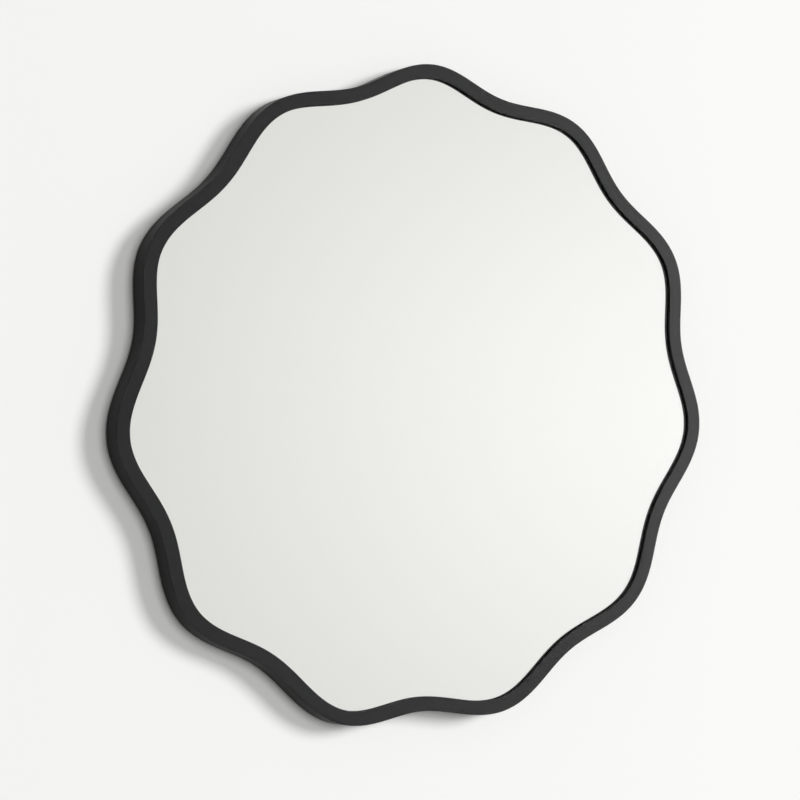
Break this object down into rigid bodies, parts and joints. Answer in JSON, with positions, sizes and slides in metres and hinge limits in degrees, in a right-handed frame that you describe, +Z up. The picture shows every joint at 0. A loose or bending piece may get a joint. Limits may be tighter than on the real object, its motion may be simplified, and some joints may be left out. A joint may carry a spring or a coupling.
{
  "type": "wall mirror",
  "caption": "Wavy-edged irregular round wall mirror: silvered glass behind the thin lip of a flat-faced black frame, on a board back with swinging hanging rings.",
  "frame": {"origin": "middle of the overall box: the centre of the outline's width and height, half way between the frame's front face and the bumpers' rear faces", "axes": "+Z up, +X to the right as the front is looked at, -Y out of the mirror's front towards the viewer, +Y to the wall"},
  "size_m": [0.9104, 0.0386, 0.9142],
  "materials": {
    "black_lacquer": "satin to matt black lacquer on fibreboard",
    "black_foam_tape": "thin closed-cell foam tape",
    "clear_glass": "clear float glass, faintly green",
    "silvering": "silvered mirror layer with grey back paint",
    "fibreboard": "bare medium-density fibreboard",
    "white_foam_tape": "double-sided foam tape",
    "zinc_plated_steel": "bright zinc-plated pressed steel",
    "zinc_plated_screws": "zinc-plated pan-head screws",
    "nickel_plated_steel": "nickel-plated steel strap and wire",
    "black_rubber": "matt moulded rubber"
  },
  "bodies": {
    "mirror": {"frame": "black_lacquer", "bedding_tape": "black_foam_tape", "mirror_glass": "clear_glass", "silver_layer": "silvering", "backing_board": "fibreboard", "foam_strip_1": "white_foam_tape", "foam_strip_2": "white_foam_tape", "foam_strip_3": "white_foam_tape", "foam_strip_4": "white_foam_tape", "foam_strip_5": "white_foam_tape", "bracket_01": "zinc_plated_steel", "bracket_board_screw_01": "zinc_plated_screws", "bracket_frame_screw_01": "zinc_plated_screws", "bracket_02": "zinc_plated_steel", "bracket_board_screw_02": "zinc_plated_screws", "bracket_frame_screw_02": "zinc_plated_screws", "bracket_03": "zinc_plated_steel", "bracket_board_screw_03": "zinc_plated_screws", "bracket_frame_screw_03": "zinc_plated_screws", "bracket_04": "zinc_plated_steel", "bracket_board_screw_04": "zinc_plated_screws", "bracket_frame_screw_04": "zinc_plated_screws", "bracket_05": "zinc_plated_steel", "bracket_board_screw_05": "zinc_plated_screws", "bracket_frame_screw_05": "zinc_plated_screws", "bracket_06": "zinc_plated_steel", "bracket_board_screw_06": "zinc_plated_screws", "bracket_frame_screw_06": "zinc_plated_screws", "bracket_07": "zinc_plated_steel", "bracket_board_screw_07": "zinc_plated_screws", "bracket_frame_screw_07": "zinc_plated_screws", "bracket_08": "zinc_plated_steel", "bracket_board_screw_08": "zinc_plated_screws", "bracket_frame_screw_08": "zinc_plated_screws", "bracket_09": "zinc_plated_steel", "bracket_board_screw_09": "zinc_plated_screws", "bracket_frame_screw_09": "zinc_plated_screws", "bracket_10": "zinc_plated_steel", "bracket_board_screw_10": "zinc_plated_screws", "bracket_frame_screw_10": "zinc_plated_screws", "bracket_11": "zinc_plated_steel", "bracket_board_screw_11": "zinc_plated_screws", "bracket_frame_screw_11": "zinc_plated_screws", "hanger_strap_left": "nickel_plated_steel", "hanger_screw_left_upper": "zinc_plated_screws", "hanger_screw_left_lower": "zinc_plated_screws", "hanger_strap_right": "nickel_plated_steel", "hanger_screw_right_upper": "zinc_plated_screws", "hanger_screw_right_lower": "zinc_plated_screws", "bumper_upper_right": "black_rubber", "bumper_upper_left": "black_rubber", "bumper_lower_left": "black_rubber", "bumper_lower_right": "black_rubber"},
    "ring_left": {"hanger_ring_left": "nickel_plated_steel"},
    "ring_right": {"hanger_ring_right": "nickel_plated_steel"}
  },
  "joints": [
    {"name": "ring_left_swing", "type": "hinge", "parent": "mirror", "child": "ring_left", "pos_m": [-0.2, 0.0031, 0.23], "axis": [1, 0, 0], "range_deg": [0, 180]},
    {"name": "ring_right_swing", "type": "hinge", "parent": "mirror", "child": "ring_right", "pos_m": [0.2, 0.0031, 0.23], "axis": [1, 0, 0], "range_deg": [0, 180]}
  ]
}
